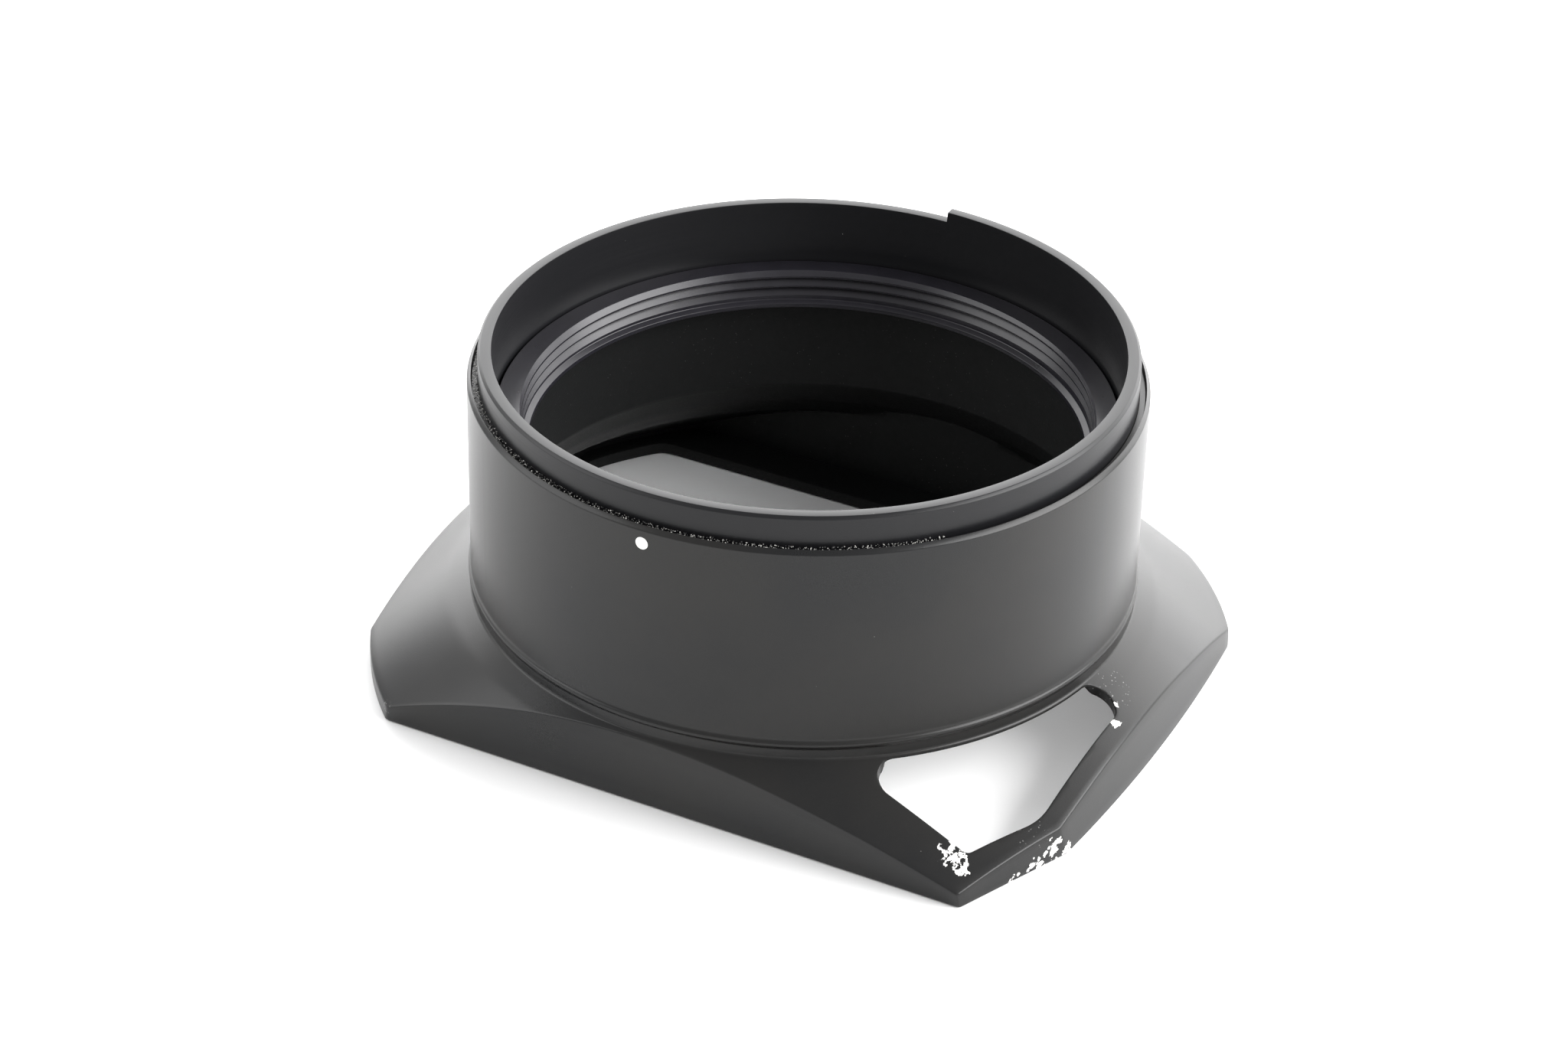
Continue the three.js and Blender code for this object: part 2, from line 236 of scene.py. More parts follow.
FACET_DIRECTION = towards(FACET_AZIMUTH)
COLUMN_STEP = math.radians(0.9)
CORNER_ROUND = 0.25


def cast(kind, azimuth, height, inset):
    """Distance from the axis to one side of the outline, in a direction."""
    cos, sin = np.cos(azimuth), np.sin(azimuth)
    if kind == "long":
        return (HALF_DEPTH + LONG_SIDE_LEAN * height - inset) / np.abs(sin)
    if kind == "facet":
        return (FACET - inset) / (cos * FACET_DIRECTION[0] + sin * FACET_DIRECTION[1])
    if kind == "arc":
        return (CORNER - inset) * np.ones_like(cos)
    half = HALF_WIDTH - SHORT_SIDE_LEAN * height - inset
    centre = half - SHORT_SIDE_BOW
    cos = np.abs(cos)
    return centre * cos + np.sqrt(SHORT_SIDE_BOW ** 2 - (centre * sin) ** 2)


def meeting(first, second, guess, height, inset):
    """The direction in which two neighbouring sides meet, found by halving."""

    def gap(azimuth):
        azimuth = np.array(azimuth)
        return float(cast(first, azimuth, height, inset) - cast(second, azimuth, height, inset))

    low, high = guess - 0.15, guess + 0.15
    sign = gap(low) > 0
    for _ in range(40):
        middle = (low + high) / 2
        low, high = (middle, high) if (gap(middle) > 0) == sign else (low, middle)
    return (low + high) / 2


SIDES = ("facet", "short", "arc", "long", "arc", "short", "arc", "long")
GUESSES = [-0.772, -0.468, 0.451, 0.834,
           math.pi - 0.834, math.pi - 0.451, math.pi + 0.451, math.pi + 0.834]


def outline(height, inset):
    """Every column's point at a height, as an array of [x, y]."""
    corners = []
    for i, guess in enumerate(GUESSES):
        corners.append(meeting(SIDES[i - 1], SIDES[i], guess, height, inset))
    corners.append(corners[0] + 2 * math.pi)
    points = []
    for i, kind in enumerate(SIDES):
        share = np.linspace(0, 1, COUNTS[i] + 1)[:-1]
        azimuth = corners[i] + (corners[i + 1] - corners[i]) * share
        distance = cast(kind, azimuth, height, inset)
        side = np.stack([distance * np.cos(azimuth), distance * np.sin(azimuth)], 1)
        points.append(side)
    points = np.concatenate(points)
    starts = np.concatenate([[0], np.cumsum(COUNTS)[:-1]])
    for start in starts:
        corner = points[start].copy()
        for step in (-1, 1):
            ahead = points[(start + 2 * step) % len(points)] - corner
            ahead = ahead / np.linalg.norm(ahead) * CORNER_ROUND
            points[(start + step) % len(points)] = corner + ahead
        beside = points[start - 1] + points[(start + 1) % len(points)]
        points[start] = corner * 0.5 + beside * 0.25
    return points


COUNTS = []
for i, guess in enumerate(GUESSES):
    span = (GUESSES + [GUESSES[0] + 2 * math.pi])[i + 1] - guess
    COUNTS.append(max(8, round(span / COLUMN_STEP)))
COLUMNS = sum(COUNTS)
OUTLINE_FOOT = outline(0.0, 0.0)
OUTLINE_RISE = (outline(8.0, 0.0) - OUTLINE_FOOT) / 8
INNER_FOOT = outline(0.0, SIDE_WALL)
INNER_RISE = (outline(8.0, SIDE_WALL) - INNER_FOOT) / 8
print("columns round the outline:", COLUMNS)


def crest_height(foot, rise, drop):
    """Height at which each column of a leaning wall meets the cone, lowered by a drop."""
    low = np.full(len(foot), 0.3)
    high = np.full(len(foot), 12.0)
    for _ in range(40):
        middle = (low + high) / 2
        point = foot + rise * middle[:, None]
        reach = np.linalg.norm(point, axis=1)
        lowered = drop(reach, np.arctan2(point[:, 1], point[:, 0]))
        below = middle < cone(np.maximum(reach, BEAD)) - lowered
        low = np.where(below, middle, low)
        high = np.where(below, high, middle)
    return (low + high) / 2


CREST = crest_height(OUTLINE_FOOT, OUTLINE_RISE, roll)
CEILING = crest_height(INNER_FOOT, INNER_RISE, lambda r, azimuth: SKIRT_WALL + roll(r, azimuth))
print("crest heights from", CREST.min().round(2), "to", CREST.max().round(2))

# %% [markdown]
# ## The body as one closed skin
#
# Each column runs once round the metal: up the wall, over the crest, along the cone, up the tube,
# down the groove and the bore, under the cone and round the mask. The rows of all the columns
# make one closed skin, and edges get a real rounding of a few points instead of a bevel.

# %% The body's rows
EDGE = 0.16
rows = []


def add(points):
    """Stores one row of the skin, [x, y, z] for every column."""
    rows.append(np.asarray(points, float))


def wall_point(foot, rise, height):
    """Points on a leaning wall at one height for each column."""
    height = np.broadcast_to(height, len(foot))
    return np.column_stack([foot + rise * height[:, None], height])


def bend(a, b, c, steps=4):
    """A small rounding from a to c whose sharp corner would be b."""
    for t in np.linspace(0, 1, steps):
        add((1 - t) ** 2 * a + 2 * t * (1 - t) * b + t ** 2 * c)


def ring(radius, height):
    """A row of the tube, in the directions of the crest."""
    return np.column_stack([CREST_DIRECTION * radius, np.full(COLUMNS, height)])


crest = wall_point(OUTLINE_FOOT, OUTLINE_RISE, CREST)
CREST_DIRECTION = crest[:, :2] / np.linalg.norm(crest[:, :2], axis=1)[:, None]
crest_azimuth = np.arctan2(crest[:, 1], crest[:, 0])


def on_outside(s):
    """Points of the outer profile at a length along it for each column."""
    s = np.broadcast_to(s, COLUMNS)
    r = np.interp(s, OUT_S, OUT_R)
    height = np.interp(s, OUT_S, OUT_Z) - roll(r, crest_azimuth)
    return np.column_stack([CREST_DIRECTION * r[:, None], height])


crest_reach = np.linalg.norm(crest[:, :2], axis=1)
crest_s = np.interp(crest_reach, OUT_R[ON_CONE], OUT_S[ON_CONE])

foot = wall_point(OUTLINE_FOOT, OUTLINE_RISE, 0.0)
inward = foot.copy()
inward[:, :2] *= (1 - EDGE / np.linalg.norm(foot[:, :2], axis=1))[:, None]
bend(inward, foot, wall_point(OUTLINE_FOOT, OUTLINE_RISE, EDGE))
for share in np.linspace(0, 1, 6)[1:-1]:
    add(wall_point(OUTLINE_FOOT, OUTLINE_RISE, EDGE + (CREST - 2 * EDGE) * share))
bend(wall_point(OUTLINE_FOOT, OUTLINE_RISE, CREST - EDGE), crest,
     on_outside(np.maximum(crest_s - EDGE, 0)))
BEAD_END = float(OUT_S[ON_CONE][0])
for share in np.linspace(1, 0, 24)[1:-1] ** 1.3:
    add(on_outside(np.minimum(BEAD_END, crest_s - EDGE)
                   + np.maximum(crest_s - EDGE - BEAD_END, 0) * share))
for share in np.linspace(1, 0, 50)[:-1]:
    add(on_outside(np.minimum(BEAD_END, crest_s - EDGE) * share))
CHAMFER_FOOT = TUBE_TOP - TUBE_CHAMFER
for height in np.linspace(FOOT, CHAMFER_FOOT - 0.12, 9):
    add(ring(TUBE, height))
chamfer_low = ring(TUBE, CHAMFER_FOOT)
chamfer_high = ring(TUBE - TUBE_CHAMFER + 0.02, TUBE_TOP)
bend(ring(TUBE, CHAMFER_FOOT - 0.06), chamfer_low, ring(TUBE - 0.05, CHAMFER_FOOT + 0.05), 3)
bend(ring(TUBE - TUBE_CHAMFER + 0.07, TUBE_TOP - 0.05), chamfer_high,
     ring(GROOVE, TUBE_TOP - 0.06), 3)
add(ring(GROOVE, GROOVE_FLOOR + 0.1))
add(ring(GROOVE - 0.1, GROOVE_FLOOR))
add(ring(SEAT, GROOVE_FLOOR))
add(ring(SEAT, SEAT_FOOT))
INTERIOR_FROM = len(rows)
add(ring(BORE + 0.1, SEAT_FOOT))
add(ring(BORE, SEAT_FOOT - 0.1))
for height in np.linspace(SEAT_FOOT - 0.3, BORE_FOOT + 0.1, 6):
    add(ring(BORE, height))

ceiling = wall_point(INNER_FOOT, INNER_RISE, CEILING)
ceiling_reach = np.linalg.norm(ceiling[:, :2], axis=1)
ceiling_direction = ceiling[:, :2] / ceiling_reach[:, None]
ceiling_s = np.interp(ceiling_reach, IN_R, IN_S)
for share in np.linspace(0, 1, 24)[:-1]:
    s = ceiling_s * share
    r = np.interp(s, IN_S, IN_R)
    blend = CREST_DIRECTION * (1 - share) + ceiling_direction * share
    blend /= np.linalg.norm(blend, axis=1)[:, None]
    lowered = roll(r, np.arctan2(blend[:, 1], blend[:, 0]))
    add(np.column_stack([blend * r[:, None], np.interp(s, IN_S, IN_Z) - lowered]))
add(ceiling)
for share in (0.75, 0.5, 0.25):
    height = MASK + 0.1 + np.maximum(CEILING - MASK - 0.1, 0.02) * share
    add(wall_point(INNER_FOOT, INNER_RISE, height))
mask_low = np.minimum(MASK, CEILING - 0.02)
add(wall_point(INNER_FOOT, INNER_RISE, mask_low))


def opening_reach(azimuth):
    """Distance from the axis to the edge of the mask's opening, its corners eased."""
    sides = np.stack([
        OPENING_WIDTH / np.maximum(np.abs(np.cos(azimuth)), 1e-3),
        OPENING_DEPTH / np.maximum(np.abs(np.sin(azimuth)), 1e-3),
        np.full_like(azimuth, OPENING_CORNER),
    ])
    ease = 0.35
    return -ease * np.log(np.exp(-np.clip(sides, 0, 60) / ease).sum(0))


azimuths = np.arctan2(INNER_FOOT[:, 1], INNER_FOOT[:, 0])
opening_direction = np.column_stack([np.cos(azimuths), np.sin(azimuths)])


def at_opening(outwards, height):
    """A row round the opening, moved outwards from its edge."""
    reach = opening_reach(azimuths) + outwards
    return np.column_stack([opening_direction * reach[:, None], np.broadcast_to(height, COLUMNS)])


add(at_opening(EDGE + 0.6, mask_low))
bend(at_opening(EDGE, mask_low), at_opening(0, mask_low), at_opening(0, mask_low - EDGE), 3)
INTERIOR_TO = len(rows)
bend(at_opening(0, EDGE), at_opening(0, 0), at_opening(EDGE, 0.0), 3)
add(at_opening(1.0, 0.0))
print("rows:", len(rows))

# %% [markdown]
# ## From rows to a mesh
#
# A closed grid wraps round in both directions. The window is then cut with a boolean, whose
# cutter flares where it leaves the skirt, so that the cut edge comes out rounded too.

# %% From rows to a mesh


def make_mesh(name, points, faces, slots=None):
    """A mesh object in metres from points in millimetres, with its faces turned outwards."""
    mesh = bpy.data.meshes.new(name)
    mesh.from_pydata((np.asarray(points) * MM).tolist(), [], [tuple(face) for face in faces])
    if slots is not None:
        mesh.polygons.foreach_set("material_index", slots)
    work = bmesh.new()
    work.from_mesh(mesh)
    bmesh.ops.remove_doubles(work, verts=work.verts, dist=1e-7)
    bmesh.ops.recalc_face_normals(work, faces=work.faces)
    if work.calc_volume(signed=True) < 0:
        bmesh.ops.reverse_faces(work, faces=work.faces)
    work.to_mesh(mesh)
    work.free()
    piece = bpy.data.objects.new(name, mesh)
    bpy.context.scene.collection.objects.link(piece)
    return piece


def grid_faces(row_count, column_count, close_rows=True):
    """Quads between neighbouring rows, wrapping round the columns and, if asked, the rows."""
    faces = []
    for j in range(row_count if close_rows else row_count - 1):
        k = (j + 1) % row_count
        for i in range(column_count):
            n = (i + 1) % column_count
            faces.append((j * column_count + i, j * column_count + n,
                          k * column_count + n, k * column_count + i))
    return faces


inner_rows = (np.arange(len(rows)) >= INTERIOR_FROM) & (np.arange(len(rows)) < INTERIOR_TO)
body = make_mesh("hood_shell", np.concatenate(rows), grid_faces(len(rows), COLUMNS),
                 np.repeat(inner_rows.astype(np.int32), COLUMNS))
black_enamel = bpy.data.materials.new("black_enamel")
matt_black = bpy.data.materials.new("matt_black")
body.data.materials.append(black_enamel)
body.data.materials.append(matt_black)
print("body points:", len(body.data.vertices))

# %% [markdown]
# ## The viewfinder window
#
# The window's outline has a curved side beside the tube, three straight sides, and rounded ends.
# Its cutter is a stack of that outline, each loop at its own distance below or above the cone.

# %% The viewfinder window


def outline_height(points):
    """Height of the cone over plan points."""
    reach = np.linalg.norm(points, axis=1)
    return cone(reach) - roll(reach, np.arctan2(points[:, 1], points[:, 0]))


def arc(centre, radius, start, end, steps):
    """Points of an arc, ends included."""
    turn = np.linspace(start, end, steps)
    return np.column_stack([centre[0] + radius * np.cos(turn), centre[1] + radius * np.sin(turn)])


def window_outline():
    """The window's outline, anticlockwise, its two outer corners slightly rounded."""
    reach = WINDOW_INNER + WINDOW_CORNER
    side_x = WINDOW_WIDTH - WINDOW_CORNER
    side_angle = -math.acos(side_x / reach)
    depth_y = WINDOW_DEPTH - WINDOW_CORNER
    depth_angle = -math.asin(depth_y / reach)
    facet = towards(WINDOW_FACET_AZIMUTH)
    side = WINDOW_WIDTH - WINDOW_TAPER
    side_corner = np.array([side, (WINDOW_FACET - facet[0] * side) / facet[1]])
    depth = WINDOW_DEPTH + WINDOW_FLARE
    depth_corner = np.array([(WINDOW_FACET + facet[1] * depth) / facet[0], -depth])
    side_end = np.array([WINDOW_WIDTH, reach * math.sin(side_angle)])
    depth_end = np.array([reach * math.cos(depth_angle), -WINDOW_DEPTH])
    eased = lambda before, corner, after, size: [
        (1 - t) ** 2 * (corner + (before - corner) / np.linalg.norm(before - corner) * size)
        + 2 * t * (1 - t) * corner
        + t ** 2 * (corner + (after - corner) / np.linalg.norm(after - corner) * size)
        for t in np.linspace(0, 1, 7)
    ]
    points = [
        eased(depth_corner, side_corner, side_end, 1.6),
        arc((side_x, reach * math.sin(side_angle)), WINDOW_CORNER, 0, math.pi + side_angle, 16),
        arc((0, 0), WINDOW_INNER, side_angle, depth_angle, 40)[1:-1],
        arc((reach * math.cos(depth_angle), -depth_y), WINDOW_CORNER,
            math.pi + depth_angle, 1.5 * math.pi, 16),
        eased(depth_end, depth_corner, side_corner, 0.5),
    ]
    return np.concatenate(points)


def spaced(points, step):
    """The same closed outline with points added so that none are further apart than a step."""
    result = []
    for a, b in zip(points, np.roll(points, -1, axis=0)):
        count = max(1, math.ceil(np.linalg.norm(b - a) / step))
        result.extend(a + (b - a) * k / count for k in range(count))
    return np.array(result)


def outward(points):
    """The outward direction at each point of an anticlockwise outline."""
    along = np.roll(points, -1, axis=0) - np.roll(points, 1, axis=0)
    along /= np.linalg.norm(along, axis=1)[:, None]
    return np.column_stack([along[:, 1], -along[:, 0]])


window = window_outline()
following = np.roll(window, -1, axis=0)
if np.sum(window[:, 0] * following[:, 1] - window[:, 1] * following[:, 0]) < 0:
    window = window[::-1]
window = spaced(window, 0.35)
window_out = outward(window)
window_reach = np.linalg.norm(window, axis=1)
near_tube = np.clip((window_reach - WINDOW_INNER - 0.3) / 1.0, 0, 1)
beside_tube = np.clip(1 - (window_reach - WINDOW_INNER) / 0.25, 0, 1)
pocket = window * (1 - 0.75 * beside_tube / window_reach)[:, None]
ledge = np.minimum(WINDOW_POCKET, outline_height(window) - EDGE - 0.05)
loops = [np.column_stack([pocket, np.full(len(window), MASK - 0.15)])]
loops.append(np.column_stack([pocket, np.minimum(ledge, 8.0)]))
loops.append(np.column_stack([pocket, ledge - 0.02]))
loops.append(np.column_stack([window, ledge]))
for turn in np.radians((0, 22, 45, 68, 90)):
    plan = window + window_out * (near_tube * EDGE * (1 - math.cos(turn)))[:, None]
    sunk = near_tube * EDGE * (1 - math.sin(turn))
    loops.append(np.column_stack([plan, outline_height(plan) - sunk]))
plan = window + window_out * (near_tube * (EDGE + 0.3))[:, None]
loops.append(np.column_stack([plan, outline_height(plan) + 0.06]))
loops.append(np.column_stack([plan, BEAD_TOP - BEAD_HEIGHT - 0.1 + near_tube * 3]))
cutter_faces = grid_faces(len(loops), len(window), close_rows=False)
last = (len(loops) - 1) * len(window)
cutter_faces.append(tuple(range(len(window))))
cutter_faces.append(tuple(last + i for i in range(len(window))))
cutter = make_mesh("window_cutter", np.concatenate(loops), cutter_faces)

cut = body.modifiers.new("window", "BOOLEAN")
cut.operation = "DIFFERENCE"
cut.object = cutter
cut.solver = "EXACT"
bpy.context.view_layer.update()
evaluated = body.evaluated_get(bpy.context.evaluated_depsgraph_get())
cut_mesh = bpy.data.meshes.new_from_object(evaluated)
body.modifiers.clear()
body.data = cut_mesh
bpy.data.objects.remove(cutter)
print("body points after the window:", len(body.data.vertices))

# %% [markdown]
# ## The mount collar
#
# The collar is a plain spigot whose end face climbs by one thread pitch in a turn, so that it
# stops square when the hood is screwed home. Modelling the ramp by hand would be fiddly; here
# a lathed blank goes through a Geometry Nodes rule that lifts every point of the end face by its
# direction. One very thin last column makes the step.

# %% A small helper for node trees


def add_node(tree, kind, settings=None, inputs=None):
    """Adds a node, sets its own settings, then its sockets from values or from links."""
    made = tree.nodes.new(kind)
    for key, value in (settings or {}).items():
        setattr(made, key, value)
    for key, value in (inputs or {}).items():
        socket = made.inputs[key]
        if isinstance(value, bpy.types.NodeSocket):
            tree.links.new(value, socket)
        else:
            socket.default_value = value
    return made


def start_geometry(name, numbers):
    """A Geometry Nodes tree with a mesh input, named numbers and a mesh output."""
    tree = bpy.data.node_groups.new(name, "GeometryNodeTree")
    tree.interface.new_socket(name="Mesh", in_out="INPUT", socket_type="NodeSocketGeometry")
    for label, value in numbers.items():
        kind = "NodeSocketInt" if isinstance(value, int) else "NodeSocketFloat"
        made = tree.interface.new_socket(name=label, in_out="INPUT", socket_type=kind)
        made.default_value = value
    tree.interface.new_socket(name="Material", in_out="INPUT", socket_type="NodeSocketMaterial")
    tree.interface.new_socket(name="Mesh", in_out="OUTPUT", socket_type="NodeSocketGeometry")
    return tree, tree.nodes.new("NodeGroupInput"), tree.nodes.new("NodeGroupOutput")


def finish_geometry(tree, entry, leave, result):
    """Ends a tree in plain, dressed geometry."""
    real = add_node(tree, "GeometryNodeRealizeInstances", inputs={"Geometry": result})
    dressed = add_node(tree, "GeometryNodeSetMaterial", inputs={
        "Geometry": real.outputs["Geometry"], "Material": entry.outputs["Material"]})
    tree.links.new(dressed.outputs["Geometry"], leave.inputs["Mesh"])


def run_geometry(piece, tree, values):
    """Runs a tree on a piece with named values and keeps the result as its plain mesh."""
    modifier = piece.modifiers.new("rule", "NODES")
    modifier.node_group = tree
    for item in tree.interface.items_tree:
        if item.item_type == "SOCKET" and item.in_out == "INPUT" and item.name in values:
            modifier[item.identifier] = values[item.name]
    bpy.context.view_layer.update()
    evaluated = piece.evaluated_get(bpy.context.evaluated_depsgraph_get())
    mesh = bpy.data.meshes.new_from_object(evaluated)
    piece.modifiers.clear()
    piece.data = mesh
    print(piece.name, "has", len(mesh.vertices), "points")


def lathe(name, profile, azimuths):
    """A closed profile of [radius, height] turned round the axis through given directions."""
    points = [[r * math.cos(a), r * math.sin(a), z] for r, z in profile for a in azimuths]
    return make_mesh(name, points, grid_faces(len(profile), len(azimuths)))


# %% The collar
COLLAR = 29.98
COLLAR_BORE = 28.74
COLLAR_BEVEL = 0.24
FLANGE = 28.02
FLANGE_THICKNESS = 0.5
COLLAR_FOOT = float(collar_low[2]) + 0.02
STOP = 31.96
BELOW_STOP = 30.5           # points above this height climb with the end face
PITCH = 1.02
STEP_AZIMUTH = math.radians(90)

turn_share = np.concatenate([np.linspace(0, 1, 361)[:-1], [0.9996]])
collar_azimuths = STEP_AZIMUTH + 2 * math.pi * turn_share
collar_profile = eased_corners([
    (FLANGE, COLLAR_FOOT), (COLLAR, COLLAR_FOOT), (COLLAR, STOP - COLLAR_BEVEL),
    (COLLAR - COLLAR_BEVEL, STOP), (COLLAR_BORE, STOP),
    (COLLAR_BORE, COLLAR_FOOT + FLANGE_THICKNESS), (FLANGE, COLLAR_FOOT + FLANGE_THICKNESS),
    (FLANGE, COLLAR_FOOT)],
    (0.1, 0.05, 0.05, 0.08, 0.1, 0.1), 4)[:-1]
collar = lathe("collar", collar_profile, collar_azimuths)

climb, entry, leave = start_geometry("climbing_end", {"Pitch": 0.001, "Start": 0.0, "Above": 0.0})
place = add_node(climb, "GeometryNodeInputPosition")
parts = add_node(climb, "ShaderNodeSeparateXYZ", inputs={0: place.outputs[0]})


def geometry_math(tree, operation, first, second):
    """A Math node's result in a Geometry Nodes tree."""
    made = add_node(tree, "ShaderNodeMath", {"operation": operation}, {0: first, 1: second})
    return made.outputs[0]


facing = geometry_math(climb, "ARCTAN2", parts.outputs["Y"], parts.outputs["X"])
beyond = geometry_math(climb, "SUBTRACT", facing, entry.outputs["Start"])
turned = geometry_math(climb, "DIVIDE", beyond, 2 * math.pi)
share = geometry_math(climb, "FLOORED_MODULO", turned, 1.0)
raised = geometry_math(climb, "MULTIPLY", share, entry.outputs["Pitch"])
lift = add_node(climb, "ShaderNodeCombineXYZ", inputs={"Z": raised})
upper = add_node(climb, "FunctionNodeCompare", {"data_type": "FLOAT", "operation": "GREATER_THAN"},
                 {0: parts.outputs["Z"], 1: entry.outputs["Above"]})
moved = add_node(climb, "GeometryNodeSetPosition", inputs={
    "Geometry": entry.outputs["Mesh"], "Selection": upper.outputs[0], "Offset": lift.outputs[0]})
finish_geometry(climb, entry, leave, moved.outputs["Geometry"])

black_anodised = bpy.data.materials.new("black_anodised")
ring_anodised = bpy.data.materials.new("ring_anodised")
run_geometry(collar, climb, {"Pitch": PITCH * MM, "Start": STEP_AZIMUTH - 1e-4,
                             "Above": BELOW_STOP * MM, "Material": black_anodised})

# %% [markdown]
# ## The thread ring
#
# The lens's own thread screws into this ring. A helix is what a lathe cuts as it feeds along, so
# the tool is modelled instead of the ridges: a spiral curve carries a pointed tool section, and
# the swept tool is taken from a plain ring.

# %% The thread ring
RING_TOP = float(ring_high[2]) - 0.02
RING_FOOT = float(ring_low[2]) + 0.02
RING = 28.42
RING_LIP = 25.53
RING_SEAM = 27.2            # where the closed profile starts and ends
THREAD = 26.1
THREAD_DEPTH = 0.46
THREAD_REACH = 2.75         # the thread starts this far below the ring's top
THREAD_TURNS = 3.2
ring_azimuths = np.linspace(0, 2 * math.pi, 361)[:-1]
ring_profile = eased_corners([
    (RING_SEAM, RING_FOOT), (RING, RING_FOOT), (RING, RING_TOP), (THREAD, RING_TOP),
    (THREAD, RING_FOOT + 0.62), (RING_LIP, RING_FOOT + 0.4), (RING_LIP, RING_FOOT),
    (RING_SEAM, RING_FOOT)],
    (0.05, 0.06, 0.12, 0.08, 0.05, 0.05), 4)[:-1]
thread_ring = lathe("threaded_ring", ring_profile, ring_azimuths)

cutting, entry, leave = start_geometry("thread_tool", {
    "Radius": 0.026, "Foot": 0.02, "Rise": 0.001, "Turns": 3.0, "Depth": 0.0005})
height = geometry_math(cutting, "MULTIPLY", entry.outputs["Rise"], entry.outputs["Turns"])
spiral = add_node(cutting, "GeometryNodeCurveSpiral", inputs={
    "Resolution": 180, "Rotations": entry.outputs["Turns"], "Start Radius": entry.outputs["Radius"],
    "End Radius": entry.outputs["Radius"], "Height": height})
up = add_node(cutting, "ShaderNodeCombineXYZ", inputs={"Z": entry.outputs["Foot"]})
lifted = add_node(cutting, "GeometryNodeSetPosition", inputs={
    "Geometry": spiral.outputs[0], "Offset": up.outputs[0]})
upright = add_node(cutting, "GeometryNodeSetCurveNormal", inputs={"Curve": lifted.outputs[0]})
section = add_node(cutting, "GeometryNodeCurvePrimitiveCircle", {"mode": "RADIUS"}, {
    "Resolution": 4, "Radius": entry.outputs["Depth"]})
tool = add_node(cutting, "GeometryNodeCurveToMesh", inputs={
    "Curve": upright.outputs[0], "Profile Curve": section.outputs[0], "Fill Caps": True})
cut_ring = add_node(cutting, "GeometryNodeMeshBoolean", {
    "operation": "DIFFERENCE", "solver": "EXACT"})
cutting.links.new(entry.outputs["Mesh"], cut_ring.inputs["Mesh 1"])
cutting.links.new(tool.outputs[0], cut_ring.inputs["Mesh 2"])
finish_geometry(cutting, entry, leave, cut_ring.outputs[0])
run_geometry(thread_ring, cutting, {
    "Radius": THREAD * MM, "Foot": (RING_TOP - THREAD_REACH) * MM, "Rise": PITCH * MM,
    "Turns": THREAD_TURNS, "Depth": THREAD_DEPTH * MM, "Material": ring_anodised})

# %% [markdown]
# ## The index dot
#
# A drop of white paint in a shallow drilled hole shows where the thread starts. A disc whose
# middle stands a little higher than its edge catches light as real paint does.

# %% The index dot
DOT_HEIGHT = 28.15
DOT = 0.6
DOT_SIDES = 32
white_paint = bpy.data.materials.new("white_paint")
dot_rings = [(DOT, -0.2), (DOT, 0.006), (DOT * 0.93, 0.03), (DOT * 0.7, 0.045), (DOT * 0.35, 0.052)]
dot_points = []
for reach, out in dot_rings:
    for k in range(DOT_SIDES):
        a = 2 * math.pi * k / DOT_SIDES
        x, z = reach * math.cos(a), reach * math.sin(a)
        dot_points.append([x, -(math.sqrt(TUBE ** 2 - x * x) + out), DOT_HEIGHT + z])
dot_faces = grid_faces(len(dot_rings), DOT_SIDES, close_rows=False)
dot_faces += [tuple(range(DOT_SIDES)), tuple(range(DOT_SIDES * 4, DOT_SIDES * 5))]
dot = make_mesh("painted_dot", dot_points, dot_faces)
dot.data.materials.append(white_paint)

# %% [markdown]
# ## Dried glue in the groove
#
# The narrow groove round the collar holds crumbs of dried sealant. They are scattered by rule:
# Geometry Nodes places small faceted grains, with a fixed seed, on a strip that follows the
# groove's floor along the front.

# %% The crumbs
CRUMB_DENSITY = 26.0        # on a square millimetre
CRUMB_SIZE = 0.075
CRUMB_SEED = 7
glue = bpy.data.materials.new("dried_glue")
strip_azimuths = np.radians(np.linspace(-158, -40, 120))
strip_points, strip_faces = [], []
for a in strip_azimuths:
    for r, z in ((30.03, 29.72), (30.25, 29.58), (30.52, 29.55)):
        strip_points.append([r * math.cos(a), r * math.sin(a), z])
for k in range(len(strip_azimuths) - 1):
    for j in (0, 1):
        strip_faces.append((3 * k + j, 3 * k + j + 1, 3 * k + j + 4, 3 * k + j + 3))
strip_mesh = bpy.data.meshes.new("groove_crumbs")
strip_mesh.from_pydata((np.array(strip_points) * MM).tolist(), [], strip_faces)
crumbs = bpy.data.objects.new("groove_crumbs", strip_mesh)
bpy.context.scene.collection.objects.link(crumbs)

scatter, entry, leave = start_geometry("crumbs", {"Density": 1e6, "Size": 0.0001, "Seed": 7})
spots = add_node(scatter, "GeometryNodeDistributePointsOnFaces", inputs={
    "Mesh": entry.outputs["Mesh"], "Density": entry.outputs["Density"],
    "Seed": entry.outputs["Seed"]})
grain = add_node(scatter, "GeometryNodeMeshIcoSphere", inputs={
    "Radius": entry.outputs["Size"], "Subdivisions": 1})
spin = add_node(scatter, "FunctionNodeRandomValue", {"data_type": "FLOAT_VECTOR"}, {
    "Min": (0, 0, 0), "Max": (6.3, 6.3, 6.3)})
girth = add_node(scatter, "FunctionNodeRandomValue", {"data_type": "FLOAT_VECTOR"}, {
    "Min": (0.3, 0.3, 0.3), "Max": (1.2, 1.2, 0.9)})
grains = add_node(scatter, "GeometryNodeInstanceOnPoints", inputs={
    "Points": spots.outputs["Points"], "Instance": grain.outputs[0],
    "Rotation": spin.outputs[0], "Scale": girth.outputs[0]})
finish_geometry(scatter, entry, leave, grains.outputs[0])
